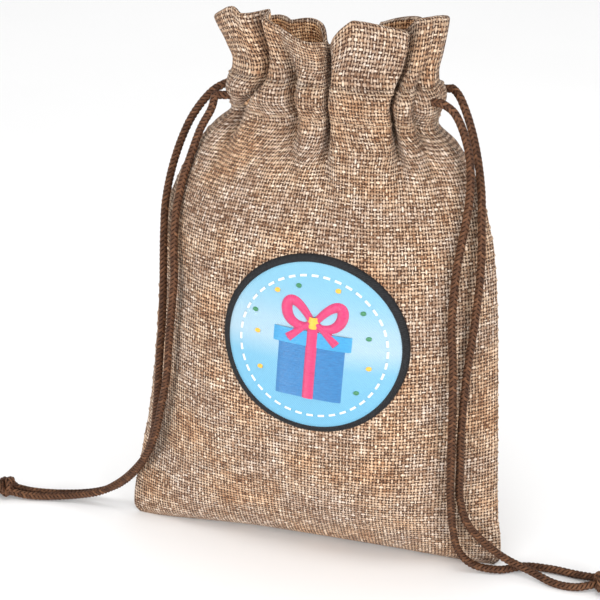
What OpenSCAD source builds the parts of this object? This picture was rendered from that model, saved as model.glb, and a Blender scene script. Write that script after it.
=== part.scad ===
// Drawstring gift pouch: a soft woven pouch standing on its folded bottom edge, with a gathered neck,
// a casing for two opposed drawstrings, a pleated mouth and a round sewn-on patch.
// X runs from seam to seam, the front faces -Y, and Z = 0 is the surface that the pouch stands on.

/* [Pouch] */
// Widest distance from side seam to side seam
pouch_w = 126; // [116:1:136]
// Height of the filled body, from the bottom fold to the casing
body_h = 148; // [140:1:150]
// Distance from the front of the belly to the back
belly_depth = 50; // [44:1:56]
// Thickness of the cloth wall with its fray allowance
cloth_t = 1.6; // [1.2:0.1:2]
// Sideways lean of the neck
neck_lean = 6.5; // [0:0.5:8]

/* [Neck and mouth] */
// Straight part of the gathered casing, between its two round ends
casing_straight = 47; // [40:1:50]
// Half the distance between the front and the back cord channels
channel_y = 7; // [6.5:0.1:8]
// Height of the casing
casing_h = 11; // [10.5:0.5:12]
// Height of the pleated frill above the casing
frill_h = 18.4; // [14:0.2:22]
// Depth of the pleats at the top of the frill
pleat_depth = 2.6; // [1.5:0.1:3]
// Number of pleats in each half of the frill
pleat_count = 4; // [2:1:6]
// How far the frill leans outwards at its top
frill_lean = 1.5; // [1:0.1:4]

/* [Cords] */
// Diameter of the braided cord
cord_d = 2.7; // [2.4:0.1:2.9]
// Free space around each cord inside the casing
cord_play = 0.4; // [0.3:0.05:0.6]
// Diameter of the knot that ties the two ends of a cord
knot_d = 6.4; // [5.8:0.1:7]

/* [Patch] */
// Outer diameter of the round patch
patch_d = 56; // [40:1:60]
// Width of the overlocked patch border
border_w = 2.6; // [2:0.1:4]
// Height of the patch centre above the bottom fold
patch_z = 82; // [75:1:90]
// Sideways place of the patch centre
patch_x = 8.5; // [0:0.5:12]

/* [Hidden] */

$fn = 48;
jute = "burlywood";
jute_dark = "tan";
thread = "wheat";
cord_brown = "saddlebrown";

// Body outline. Each row holds a fraction of body_h, then fractions of the half width, the half
// depth and the lean at that height.
outline = [
    [0.00, 0.96, 0.20, 0.06],
    [0.05, 1.00, 0.38, 0.06],
    [0.13, 0.97, 0.63, 0.15],
    [0.28, 0.925, 0.87, 0.42],
    [0.45, 0.89, 1.00, 0.57],
    [0.60, 0.865, 0.97, 0.63],
    [0.73, 0.83, 0.86, 0.66],
    [0.82, 0.765, 0.73, 0.78],
    [0.90, 0.68, 0.59, 0.95],
    [0.96, 0.60, 0.48, 1.03],
    [1.00, 0.54, 0.40, 1.00]
];
HALF_WIDTH = 1;
HALF_DEPTH = 2;
LEAN = 3;
// The section of each panel is a crown that falls to the seams with these powers.
crown_flat = 2.4;
crown_round = 0.8;

fold_t = 1.6;            // thickness of the flat bottom fold
seam_half_t = 0.8;       // half the thickness of the two turned-in seam edges
seam_allowance = 7;      // how far the seam edges reach into the pouch
skin_gap = 0.05;         // parting between cloth layers of one body
panel_rows = 20;
panel_columns = 26;
patch_t = 1.2;           // how far the patch border stands off the front
back_extra = patch_t;    // the back belly is as much deeper as the patch is thick

casing_z = body_h + casing_h / 2;
casing_wall = 1.3;
channel_w = cord_d + 2 * cord_play;
casing_r = channel_y + channel_w / 2 + casing_wall;
casing_r_in = channel_y - channel_w / 2 - casing_wall;
straight_half = casing_straight / 2;
cord_step = 4.2;         // height between the two cords in the casing
channel_h = cord_step + cord_d + 2 * cord_play;
left_cord_z = casing_z - cord_step / 2;
right_cord_z = casing_z + cord_step / 2;
exit_reach = sqrt(pow(casing_r, 2) - pow(channel_y, 2));
exit_stub = 1.5;         // how far a run stands out of the casing wall
pivot_gap = 1;           // free space on each side of a tail's pivot
left_exit_x = neck_lean - straight_half - exit_reach - exit_stub;
right_exit_x = neck_lean + straight_half + exit_reach + exit_stub;
left_tail_x = left_exit_x - 2 * pivot_gap;
right_tail_x = right_exit_x + 2 * pivot_gap;

frill_gap = 0.6;         // free space between the casing and the hinged frill
frill_z = body_h + casing_h + frill_gap;
frill_rows = 6;
frill_columns = 48;
frill_half_w = 32.5;     // half width of the frill where it leaves the casing
frill_flare = 4;         // how much wider each side is at the top
frill_layer_t = 1.2;
frill_end_gap = 0.5;     // half the parting between the front and the back frill

patch_segments = 40;
patch_lift = 0.2;        // parting between the patch and the belly
backing_t = 0.3;
face_t = 0.8;

stitch_t = 0.6;
stitch_l = 2.4;
stitch_pitch = 3.4;

tube_sides = 8;
floor_z = 1.4;           // height of a cord's centre line where it lies on the ground

// Routes of the four free cord tails, from the casing to the knot.
left_back_route = [
    [left_tail_x, channel_y, left_cord_z], [-33.5, 6, 148], [-39, 4.5, 141], [-42.5, 2, 133],
    [-44.5, -2, 124], [-45.2, -6, 115], [-45, -8.5, 107], [-44.5, -11, 98], [-44.2, -12.8, 88],
    [-44.5, -13.8, 78], [-45.5, -14.3, 67], [-46.5, -14.2, 56], [-48, -13.2, 46], [-50, -11.5, 36],
    [-54, -8.8, 25.5], [-60.5, -5.6, 15.5], [-68, -3.6, 8], [-77, -2.5, 3.2], [-88, -3.9, floor_z],
    [-98, -5.8, floor_z], [-105.2, -7, 2.6]
];
left_front_route = [
    [left_tail_x, -channel_y, left_cord_z], [-29.3, -6.5, 146.6], [-33, -6, 140], [-36, -6.5, 132],
    [-38.7, -8, 123], [-39.8, -11, 114], [-39.8, -13.5, 104], [-39.3, -15.5, 94], [-40, -17, 83],
    [-41, -17.5, 72], [-42, -17.8, 61], [-44.5, -17, 50], [-47, -16, 40], [-51, -14.5, 30],
    [-57, -11.5, 21], [-64.5, -8.2, 12.6], [-72.5, -6.8, 6.6], [-82, -6.3, 3], [-91, -7.6, 1.6],
    [-98.5, -9.4, 1.6], [-105.2, -10.4, 2.6]
];
right_front_route = [
    [right_tail_x, -channel_y, right_cord_z], [44.5, -7, 153], [47.5, -7, 147], [49.5, -7, 139],
    [50, -7.5, 130], [49.5, -9, 121], [48.5, -12, 111], [48, -14, 101], [48, -15.5, 90],
    [49, -16, 78], [49.5, -16.5, 66], [49.5, -16, 54], [49.5, -15.2, 43], [49.5, -13.8, 31],
    [50, -11, 19], [51.5, -8, 9], [56, -5.5, 3], [64, -3.5, floor_z], [71.5, 1, floor_z],
    [80, 2, floor_z], [88, 1.5, floor_z], [95.2, -0.2, 2.6]
];
right_back_route = [
    [right_tail_x, channel_y, right_cord_z], [43.5, 5.5, 153], [47, 3.5, 146], [50, 0.5, 138],
    [52.4, -3.2, 129], [53.6, -6.2, 120], [54.4, -8.2, 110], [54.4, -9.7, 100], [53.8, -11, 89],
    [52.8, -12.5, 77], [52.2, -13.5, 65], [51.8, -13.4, 53], [51.8, -12.5, 42], [51.8, -11.2, 31],
    [54, -9.6, 21], [59, -6.2, 12.5], [65.5, -2.6, 5.5], [74, -3.5, 3], [82, -5.5, floor_z],
    [89, -5.5, floor_z], [95.2, -3.4, 2.6]
];
left_knot_at = [-107.5, -9.2, knot_d / 2];
right_knot_at = [97.5, -1.8, knot_d / 2];
knot_end_l = 11;
knot_end_turn = 32;      // angle between each cord end and the line of the cord
knot_end_dip = 7;        // how far each cord end slopes down to the ground
knot_end_start = 2.6;    // how far from the knot's centre each cord end starts

// ---- functions for the cloth surface ----

function row_at(t, i = 0) = i >= len(outline) - 2 || t <= outline[i + 1][0] ? i : row_at(t, i + 1);

function row_slope(i, k) =
    let (a = outline[max(i - 1, 0)], b = outline[min(i + 1, len(outline) - 1)])
    (b[k] - a[k]) / (b[0] - a[0]);

// Smooth value of column k of the outline at fraction t of the body height.
function outline_at(t, k) =
    let (
        i = row_at(t),
        a = outline[i],
        b = outline[i + 1],
        step = b[0] - a[0],
        s = (t - a[0]) / step
    )
    (2 * pow(s, 3) - 3 * pow(s, 2) + 1) * a[k]
    + (pow(s, 3) - 2 * pow(s, 2) + s) * row_slope(i, k) * step
    + (3 * pow(s, 2) - 2 * pow(s, 3)) * b[k]
    + (pow(s, 3) - pow(s, 2)) * row_slope(i + 1, k) * step;

function half_width(z) = pouch_w / 2 * outline_at(z / body_h, HALF_WIDTH);
function half_depth(z, extra = 0) =
    (belly_depth / 2 + extra) * outline_at(z / body_h, HALF_DEPTH);
function centre_x(z) = neck_lean * outline_at(z / body_h, LEAN);
function crown(u) = pow(max(0, 1 - pow(abs(u), crown_flat)), crown_round);

// Point on the front cloth, at u = -1 to 1 across the panel, set in from the outside by inset.
function cloth_point(u, z, inset, extra) =
    let (edge = seam_half_t + skin_gap)
    [
        centre_x(z) + (half_width(z) - inset) * u,
        -(edge + max(0.1, half_depth(z, extra) - inset - edge) * crown(u)),
        z
    ];

// Y of the outside of the front cloth at a given X and Z.
function front_y(x, z) = cloth_point((x - centre_x(z)) / half_width(z), z, 0, 0)[1];

// ---- generic closed surfaces ----

function quad(a, b, c, d) = [[a, b, c], [a, c, d]];
function flatten(lists) = [for (one = lists) for (item = one) item];

// Closed shell between two grids of points that have the same rows and columns, seen from -Y.
module shell(outer, inner) {
    rows = len(outer);
    cols = len(outer[0]);
    back = rows * cols;
    function at(i, j) = i * cols + j;
    faces = flatten(concat(
        [for (i = [0 : rows - 2]) for (j = [0 : cols - 2])
            quad(at(i, j), at(i + 1, j), at(i + 1, j + 1), at(i, j + 1))],
        [for (i = [0 : rows - 2]) for (j = [0 : cols - 2])
            quad(back + at(i, j), back + at(i, j + 1), back + at(i + 1, j + 1), back + at(i + 1, j))],
        [for (j = [0 : cols - 2])
            quad(back + at(0, j), at(0, j), at(0, j + 1), back + at(0, j + 1))],
        [for (j = [0 : cols - 2])
            quad(at(rows - 1, j + 1), at(rows - 1, j), back + at(rows - 1, j), back + at(rows - 1, j + 1))],
        [for (i = [0 : rows - 2])
            quad(at(i + 1, 0), at(i, 0), back + at(i, 0), back + at(i + 1, 0))],
        [for (i = [0 : rows - 2])
            quad(at(i, cols - 1), at(i + 1, cols - 1), back + at(i + 1, cols - 1), back + at(i, cols - 1))]
    ));
    polyhedron(points = concat(flatten(outer), flatten(inner)), faces = faces, convexity = 6);
}

function total(v, i = 0) = i == len(v) ? 0 : v[i] + total(v, i + 1);
function mean(ring, k) = total([for (p = ring) p[k]]) / len(ring);
function ring_centre(ring) = [mean(ring, 0), mean(ring, 1), mean(ring, 2)];

// Skin over a row of rings. A closed one joins its last ring to its first.
module sweep(rings, closed = false) {
    count = len(rings);
    sides = len(rings[0]);
    spans = closed ? count : count - 1;
    start_centre = count * sides;
    end_centre = start_centre + 1;
    function at(i, k) = (i % count) * sides + k % sides;
    walls = flatten([for (i = [0 : spans - 1]) for (k = [0 : sides - 1])
        quad(at(i, k), at(i + 1, k), at(i + 1, k + 1), at(i, k + 1))]);
    caps = closed ? [] : flatten([for (k = [0 : sides - 1]) [
        [at(0, k), at(0, k + 1), start_centre],
        [at(count - 1, k + 1), at(count - 1, k), end_centre]
    ]]);
    centres = closed ? [] : [ring_centre(rings[0]), ring_centre(rings[count - 1])];
    polyhedron(points = concat(flatten(rings), centres), faces = concat(walls, caps), convexity = 6);
}

function unit(v) = v / norm(v);
function route_direction(route, i) =
    unit(route[min(i + 1, len(route) - 1)] - route[max(i - 1, 0)]);

// Round ring across the route at its point i. No route runs along Y, so Y fixes the ring's turn.
function route_ring(route, i) =
    let (
        along = i == 0 ? [sign(route[1][0] - route[0][0]), 0, 0] : route_direction(route, i),
        across = unit(cross([0, 1, 0], along)),
        over = cross(along, across)
    )
    [for (k = [0 : tube_sides - 1])
        route[i] + cord_d / 2 * (across * cos(360 * k / tube_sides) + over * sin(360 * k / tube_sides))];

module cord_tail(route) {
    color(cord_brown) sweep([for (i = [0 : len(route) - 1]) route_ring(route, i)]);
}

// ---- body ----

function across_panel(j) = -cos(180 * j / panel_columns);
function panel_z(i) = fold_t + (body_h - fold_t) * i / panel_rows;

module panel(extra) {
    function grid(inset) = [for (i = [0 : panel_rows]) [for (j = [0 : panel_columns])
        cloth_point(across_panel(j), panel_z(i), inset, extra)]];
    shell(grid(0), grid(cloth_t));
}

module front_panel() {
    color(jute) panel(0);
}

module back_panel() {
    color(jute) mirror([0, 1, 0]) panel(back_extra);
}

module bottom_fold() {
    front_edge = [for (j = [0 : panel_columns]) cloth_point(across_panel(j), 0, 0, 0)];
    back_edge = [for (j = [panel_columns : -1 : 0]) cloth_point(across_panel(j), 0, 0, 0)];
    color(jute_dark) linear_extrude(height = fold_t)
        polygon(concat([for (p = front_edge) [p[0], p[1]]], [for (p = back_edge) [p[0], -p[1]]]));
}

// Two turned-in cloth edges between the panels, on the side given by -1 for left and 1 for right.
module side_seam(side) {
    zs = [for (i = [0 : panel_rows]) panel_z(i)];
    outer = [for (z = zs) [centre_x(z) + side * half_width(z), z]];
    inner = [for (z = zs) [centre_x(z) + side * (half_width(z) - seam_allowance), z]];
    back = [for (i = [panel_rows : -1 : 0]) inner[i]];
    color(jute_dark) rotate([90, 0, 0])
        linear_extrude(height = 2 * seam_half_t, center = true) polygon(concat(outer, back));
}

module seam_stitches(side) {
    inset = seam_allowance - 2;
    through = 2 * (seam_half_t + stitch_t / 2);
    color(thread) for (z = [10 : 2 * stitch_pitch : body_h - 8])
        translate([centre_x(z) + side * (half_width(z) - inset), 0, z])
            cube([stitch_t, through, stitch_l], center = true);
}

// ---- casing ----

module racetrack(r) {
    square([casing_straight, 2 * r], center = true);
    for (side = [-1, 1])
        translate([side * straight_half, 0]) circle(r);
}

// Front half of the casing: a double-walled band with one channel that holds both cords.
module casing_half() {
    reach = straight_half + casing_r + 5;
    intersection() {
        translate([neck_lean, 0, body_h + skin_gap]) difference() {
            linear_extrude(height = casing_h) difference() {
                racetrack(casing_r);
                racetrack(casing_r_in);
            }
            translate([0, 0, (casing_h - channel_h) / 2]) linear_extrude(height = channel_h) {
                difference() {
                    racetrack(channel_y + channel_w / 2);
                    racetrack(channel_y - channel_w / 2);
                }
                translate([0, -channel_y]) square([2 * reach, channel_w], center = true);
            }
        }
        translate([neck_lean - reach, -casing_r - 1, body_h - 1])
            cube([2 * reach, casing_r + 1 - skin_gap, casing_h + 2]);
    }
}

module front_casing() {
    color(jute) casing_half();
}

module back_casing() {
    color(jute) mirror([0, 1, 0]) casing_half();
}

module casing_stitches() {
    edge = (casing_h - channel_h) / 4;
    count = floor(casing_straight / stitch_pitch);
    first_x = neck_lean - (count - 1) * stitch_pitch / 2;
    color(thread) for (z = [body_h + edge, body_h + casing_h - edge])
        for (i = [0 : count - 1])
            translate([first_x + i * stitch_pitch, -casing_r, z])
                cube([stitch_l, stitch_t, stitch_t], center = true);
}

// ---- frill ----

// Y of the frill at u = -1 to 1 across it and at height h above its root.
function frill_y(u, h) =
    let (
        root_y = channel_y * pow(max(0, 1 - pow(abs(u), 4)), 0.5),
        fold = pleat_depth * h / frill_h * sin(180 * pleat_count * (u + 1)) * (1 - pow(abs(u), 4))
    )
    -(frill_end_gap + root_y + fold + frill_lean * h / frill_h * (1 - pow(abs(u), 4)));

// One cloth layer of the front frill, between two distances behind its outside face.
module frill_layer(near, far) {
    function grid(inset) = [for (i = [0 : frill_rows]) [for (j = [0 : frill_columns])
        let (
            u = -1 + 2 * j / frill_columns,
            h = frill_h * i / frill_rows,
            back = inset * (1 - pow(abs(u), 12)) + inset / 6 * pow(abs(u), 12)
        )
        [
            neck_lean + (frill_half_w + frill_flare * h / frill_h - inset / 2) * u,
            frill_y(u, h) + back,
            frill_z + h
        ]]];
    shell(grid(near), grid(far));
}

module frill_outer() {
    frill_layer(0, frill_layer_t);
}

module hem_inner() {
    frill_layer(frill_layer_t + skin_gap, 2 * frill_layer_t);
}

module front_frill() {
    color(jute) frill_outer();
}

module front_hem() {
    color(jute_dark) hem_inner();
}

module back_frill() {
    color(jute) mirror([0, 1, 0]) frill_outer();
}

module back_hem() {
    color(jute_dark) mirror([0, 1, 0]) hem_inner();
}

// ---- patch ----

// Ring of points on the belly around the patch centre, a distance off the cloth.
function patch_ring(r, off) = [for (k = [0 : patch_segments - 1])
    let (
        x = patch_x + r * cos(360 * k / patch_segments),
        z = patch_z + r * sin(360 * k / patch_segments)
    )
    [x, front_y(x, z) - off, z]];

// Disc that follows the belly, between two distances off the cloth.
module patch_disc(r, low, high) {
    radii = [0.05 * r, 0.4 * r, 0.75 * r, r];
    sweep(concat(
        [for (i = [0 : 3]) patch_ring(radii[i], low)],
        [for (i = [3 : -1 : 0]) patch_ring(radii[i], high)]
    ));
}

module patch_backing() {
    color("dimgray") patch_disc(patch_d / 2 - border_w - skin_gap, patch_lift, patch_lift + backing_t);
}

module patch_face() {
    low = patch_lift + backing_t + skin_gap;
    color("lightblue") patch_disc(patch_d / 2 - border_w - skin_gap, low, low + face_t - backing_t);
}

module patch_border() {
    r_out = patch_d / 2;
    r_in = r_out - border_w;
    r_mid = (r_in + r_out) / 2;
    color([0.08, 0.08, 0.09]) sweep([
        patch_ring(r_in, patch_lift), patch_ring(r_out, patch_lift),
        patch_ring(r_out, patch_t * 0.6), patch_ring(r_mid, patch_t), patch_ring(r_in, patch_t * 0.6)
    ], closed = true);
}

// ---- cords ----

// Turn of a cord at the far end of the casing, on the side given by -1 or 1.
module cord_loop(side, z) {
    color(cord_brown) translate([neck_lean + side * straight_half, 0, z])
        rotate([0, 0, side > 0 ? -90 : 90])
            rotate_extrude(angle = 180) translate([channel_y, 0]) circle(d = cord_d);
}

// Straight run through the casing at y, between two X places.
module cord_run(x_from, x_to, y, z) {
    color(cord_brown) translate([x_from, y, z]) rotate([0, 90, 0])
        cylinder(h = x_to - x_from, d = cord_d);
}

// Overhand knot with two short cord ends that point away from the cord along side * X.
module knot(at, side) {
    color(cord_brown) {
        translate(at) sphere(d = knot_d);
        for (turn = [-knot_end_turn, knot_end_turn])
            translate(at) rotate([0, 0, turn]) rotate([0, side * (90 + knot_end_dip), 0])
                translate([0, 0, knot_end_start]) cylinder(h = knot_end_l, d = cord_d);
    }
}

module left_cord_loop() {
    cord_loop(1, left_cord_z);
}

module right_cord_loop() {
    cord_loop(-1, right_cord_z);
}

module left_cord_front_run() {
    cord_run(left_exit_x, neck_lean + straight_half, -channel_y, left_cord_z);
}

module left_cord_back_run() {
    cord_run(left_exit_x, neck_lean + straight_half, channel_y, left_cord_z);
}

module right_cord_front_run() {
    cord_run(neck_lean - straight_half, right_exit_x, -channel_y, right_cord_z);
}

module right_cord_back_run() {
    cord_run(neck_lean - straight_half, right_exit_x, channel_y, right_cord_z);
}

// ---- nodes ----

front_panel();
back_panel();
bottom_fold();
side_seam(-1);  // left_side_seam
side_seam(1);  // right_side_seam
seam_stitches(-1);  // left_seam_stitches
seam_stitches(1);  // right_seam_stitches
front_casing();
back_casing();
casing_stitches();  // front_casing_stitches
mirror([0, 1, 0]) casing_stitches();  // back_casing_stitches
front_frill();
front_hem();
back_frill();
back_hem();
patch_backing();
patch_face();
patch_border();
left_cord_loop();
right_cord_loop();
left_cord_front_run();
left_cord_back_run();
cord_tail(left_front_route);  // left_cord_front_tail
cord_tail(left_back_route);  // left_cord_back_tail
knot(left_knot_at, -1);  // left_knot
right_cord_front_run();
right_cord_back_run();
cord_tail(right_front_route);  // right_cord_front_tail
cord_tail(right_back_route);  // right_cord_back_tail
knot(right_knot_at, 1);  // right_knot
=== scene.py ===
"""Visual model of the drawstring gift pouch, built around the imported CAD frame.

X runs from seam to seam, the front faces -Y and Z is up. Lengths in the tables are millimetres and
become metres when a mesh is made.
"""

import math

import bmesh
import bpy
import numpy as np
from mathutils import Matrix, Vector


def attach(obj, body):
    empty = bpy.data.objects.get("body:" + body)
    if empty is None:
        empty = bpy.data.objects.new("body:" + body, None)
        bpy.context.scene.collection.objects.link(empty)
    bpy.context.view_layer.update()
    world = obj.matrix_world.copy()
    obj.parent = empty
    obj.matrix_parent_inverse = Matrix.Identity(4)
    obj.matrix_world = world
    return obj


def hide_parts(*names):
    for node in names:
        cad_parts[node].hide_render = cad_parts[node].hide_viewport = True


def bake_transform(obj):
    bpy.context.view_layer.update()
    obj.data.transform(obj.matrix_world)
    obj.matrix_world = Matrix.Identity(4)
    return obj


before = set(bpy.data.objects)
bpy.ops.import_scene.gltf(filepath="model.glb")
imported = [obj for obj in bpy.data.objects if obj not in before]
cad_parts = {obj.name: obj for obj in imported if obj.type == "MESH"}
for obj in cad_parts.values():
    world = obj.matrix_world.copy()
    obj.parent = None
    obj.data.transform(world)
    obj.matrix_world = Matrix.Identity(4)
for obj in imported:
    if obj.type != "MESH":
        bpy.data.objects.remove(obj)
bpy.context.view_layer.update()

MM = 0.001
TAU = 2 * math.pi

# ---- camera, light and floor ----

CAMERA_AZIMUTH = math.radians(18)
CAMERA_ELEVATION = math.radians(25)
CAMERA_DISTANCE = 0.540
CAMERA_TARGET = Vector((-0.007, 0.010, 0.080))
CAMERA_LENS = 102
CAMERA_SENSOR = 36
LAMP_TARGET = Vector((0, 0, 0.08))
LAMPS = (   # name, place, size and power
    ("key", (-0.35, -0.95, 0.14), 0.30, 6.5),
    ("fill", (0.85, -0.60, 0.24), 0.40, 6.2),
    ("top", (0.05, -0.30, 1.00), 0.30, 2.4),
)
WORLD_LIGHT = 0.95
FLOOR_HALF = 2.0


def look_at(location, target):
    """Rotation that points an object's -Z axis from location to target."""
    return (target - location).to_track_quat("-Z", "Y").to_euler()


def add_camera():
    data = bpy.data.cameras.new("camera")
    data.lens = CAMERA_LENS
    data.sensor_width = CAMERA_SENSOR
    data.clip_start = 0.01
    camera = bpy.data.objects.new("camera", data)
    bpy.context.collection.objects.link(camera)
    level = math.cos(CAMERA_ELEVATION)
    back = Vector((math.sin(CAMERA_AZIMUTH) * level, -math.cos(CAMERA_AZIMUTH) * level,
                   math.sin(CAMERA_ELEVATION)))
    camera.location = CAMERA_TARGET + back * CAMERA_DISTANCE
    camera.rotation_euler = look_at(camera.location, CAMERA_TARGET)
    bpy.context.scene.camera = camera


def add_area_light(name, location, size, power):
    data = bpy.data.lights.new(name, "AREA")
    data.size = size
    data.energy = power
    lamp = bpy.data.objects.new(name, data)
    bpy.context.collection.objects.link(lamp)
    lamp.location = location
    lamp.rotation_euler = look_at(Vector(location), LAMP_TARGET)


def add_studio():
    """Pale floor, white surroundings and three soft lamps."""
    world = bpy.data.worlds.new("studio")
    world.use_nodes = True
    background = world.node_tree.nodes["Background"]
    background.inputs["Color"].default_value = (1, 1, 1, 1)
    background.inputs["Strength"].default_value = WORLD_LIGHT
    bpy.context.scene.world = world
    bpy.context.scene.view_settings.view_transform = "Standard"

    for lamp in LAMPS:
        add_area_light(*lamp)
    corners = [(x * FLOOR_HALF, y * FLOOR_HALF, 0) for x, y in ((-1, -1), (1, -1), (1, 1), (-1, 1))]
    mesh_object("floor", corners, [(0, 1, 2, 3)], floor_material(), scale=1)


# ---- meshes ----

def mesh_object(name, points, faces, material, uv=None, scale=MM):
    """Object from points and faces. uv holds one (u, v) pair for each corner of each face, in order."""
    mesh = bpy.data.meshes.new(name)
    points = [tuple(float(c) * scale for c in p) for p in points]
    mesh.from_pydata(points, [], [tuple(int(i) for i in f) for f in faces])
    if uv is not None:
        layer = mesh.uv_layers.new(name="fabric")
        layer.data.foreach_set("uv", np.asarray(uv, dtype=np.float32).ravel())
    mesh.polygons.foreach_set("use_smooth", [True] * len(mesh.polygons))
    mesh.materials.append(material)
    mesh.update()
    obj = bpy.data.objects.new(name, mesh)
    bpy.context.collection.objects.link(obj)
    return obj


def grid_faces(rows, columns, wrap, flip=False):
    """Quads of a grid, as an array of four point numbers and an array of four (row, column) pairs."""
    i, j = np.meshgrid(np.arange(rows - 1), np.arange(columns if wrap else columns - 1), indexing="ij")
    i, j = i.ravel(), j.ravel()
    corners = [(i, j), (i, j + 1), (i + 1, j + 1), (i + 1, j)]
    if flip:
        corners.reverse()
    index = np.stack([r * columns + c % columns for r, c in corners], axis=1)
    where = np.stack([np.stack([r, c], axis=1) for r, c in corners], axis=1)
    return index, where


def joined(parts):
    """One list each of points, faces and uv from several parts."""
    points, faces, uv = [], [], []
    start = 0
    for part_points, part_faces, part_uv in parts:
        points.append(np.asarray(part_points))
        faces += [tuple(i + start for i in f) for f in part_faces]
        uv += part_uv
        start += len(part_points)
    return np.vstack(points), faces, uv


def add_piece(name, parts, material, nodes, body="pouch"):
    """Joins the parts into one piece that rides a body and stands for the named CAD nodes."""
    points, faces, uv = joined(parts)
    piece = mesh_object(name, points, faces, material, uv)
    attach(piece, body)
    if nodes:
        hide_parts(*nodes)
    return piece


def unit(v):
    return v / np.maximum(np.linalg.norm(v, axis=-1, keepdims=True), 1e-9)


def walked(path):
    """Length of a path up to each of its points."""
    return np.concatenate([[0], np.cumsum(np.linalg.norm(np.diff(path, axis=0), axis=1))])


def thicken(obj, thickness):
    """Gives a sheet its thickness, inwards."""
    shell = obj.modifiers.new("cloth", "SOLIDIFY")
    shell.thickness = thickness * MM
    shell.offset = -1
    graph = bpy.context.evaluated_depsgraph_get()
    baked = bpy.data.meshes.new_from_object(obj.evaluated_get(graph))
    obj.modifiers.clear()
    obj.data = baked


# ---- material helpers ----

class Term:
    """A number given by a shader's node, for sums and products with other terms and numbers."""

    def __init__(self, shader, socket):
        self.shader = shader
        self.socket = socket

    def __add__(self, other):
        return self.shader.math("ADD", self, other)

    def __sub__(self, other):
        return self.shader.math("SUBTRACT", self, other)

    def __rsub__(self, other):
        return self.shader.math("SUBTRACT", other, self)

    def __mul__(self, other):
        return self.shader.math("MULTIPLY", self, other)


class Shader:
    """A material's node tree, with short calls for its nodes."""

    def __init__(self, name, roughness, specular=0.5, sheen=0.0, sheen_roughness=0.5):
        self.material = bpy.data.materials.new(name)
        self.material.use_nodes = True
        self.tree = self.material.node_tree
        self.surface = self.tree.nodes["Principled BSDF"]
        for socket, value in (("Roughness", roughness), ("Specular IOR Level", specular),
                              ("Sheen Weight", sheen), ("Sheen Roughness", sheen_roughness)):
            self.link(value, self.surface.inputs[socket])

    def link(self, value, socket):
        """Gives a socket its value: a term, another node's socket or plain numbers."""
        if isinstance(value, Term):
            value = value.socket
        if isinstance(value, bpy.types.NodeSocket):
            self.tree.links.new(value, socket)
        else:
            socket.default_value = value

    def node(self, kind, values, **settings):
        """New node of a kind, with a value for each named or numbered input."""
        node = self.tree.nodes.new("ShaderNode" + kind)
        for key, setting in settings.items():
            setattr(node, key, setting)
        for key, value in values.items():
            self.link(value, node.inputs[key])
        return node

    def math(self, operation, *values, clamp=False):
        node = self.node("Math", dict(enumerate(values)), operation=operation, use_clamp=clamp)
        return Term(self, node.outputs[0])

    def vector(self, *values):
        return self.node("CombineXYZ", dict(enumerate(values))).outputs[0]

    def noise(self, vector, scale=1.0, detail=2.0, roughness=0.5):
        values = {"Vector": vector, "Scale": scale, "Detail": detail, "Roughness": roughness}
        return Term(self, self.node("TexNoise", values, noise_dimensions="3D").outputs["Fac"])

    def spread(self, value, low, high, to_low=0.0, to_high=1.0):
        """Carries the range from low to high over to the range from to_low to to_high, smoothly."""
        values = {"Value": value, "From Min": low, "From Max": high, "To Min": to_low, "To Max": to_high}
        return Term(self, self.node("MapRange", values, interpolation_type="SMOOTHSTEP").outputs[0])

    def ramp(self, value, stops):
        node = self.node("ValToRGB", {0: value})
        elements = node.color_ramp.elements
        while len(elements) < len(stops):
            elements.new(0.5)
        for element, (place, colour) in zip(elements, stops):
            element.position = place
            element.color = (*colour, 1)
        return node.outputs[0]

    def choose(self, factor, a, b):
        """The number a where factor is 0 and b where it is 1."""
        return Term(self, self.node("Mix", {0: factor, 2: a, 3: b}, data_type="FLOAT").outputs[0])

    def mix(self, factor, a, b, blend="MIX"):
        a, b = (c if isinstance(c, bpy.types.NodeSocket) else (*c, 1) for c in (a, b))
        return self.node("Mix", {0: factor, 6: a, 7: b}, data_type="RGBA", blend_type=blend).outputs[2]

    def fabric_uv(self):
        """The two fabric coordinates of the mesh, in millimetres."""
        coordinates = self.node("UVMap", {}, uv_map="fabric").outputs[0]
        split = self.node("SeparateXYZ", {0: coordinates})
        return Term(self, split.outputs[0]), Term(self, split.outputs[1])

    def place(self):
        """Object coordinates, in millimetres."""
        coordinates = self.node("TexCoord", {}).outputs["Object"]
        return self.node("VectorMath", {0: coordinates, "Scale": 1 / MM}, operation="SCALE").outputs[0]

    def bump(self, height, distance_mm, strength=1.0):
        values = {"Strength": strength, "Distance": distance_mm * MM, "Height": height}
        self.link(self.node("Bump", values).outputs[0], self.surface.inputs["Normal"])

    def colour(self, value):
        self.link(value, self.surface.inputs["Base Color"])


# ---- materials ----

WARP_PITCH = 1.09   # millimetres between the upright threads
WEFT_PITCH = 1.20   # and between the threads that go across
THREAD_WIDTHS = (0.38, 0.84)   # thinnest and thickest thread, as shares of the pitch
THREAD_DRIFT = 0.75            # how far threads wander off their place, in pitches
JUTE_SHADES = (
    (0.26, (0.090, 0.036, 0.015)), (0.40, (0.275, 0.156, 0.090)),
    (0.52, (0.478, 0.336, 0.231)), (0.66, (0.715, 0.578, 0.460)))
JUTE_TINTS = ((0.34, (1.00, 0.87, 0.74)), (0.47, (1.00, 0.98, 0.95)), (0.60, (0.93, 0.94, 0.98)))
PAINTED_GAP_SHADE = (0.040, 0.015, 0.006)   # painted shade seen in the gaps between the threads
INSIDE_PAINTED_LIGHT = (1.80, 1.53, 1.16)   # brightens and warms the jute inside the mouth: painted light


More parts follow.
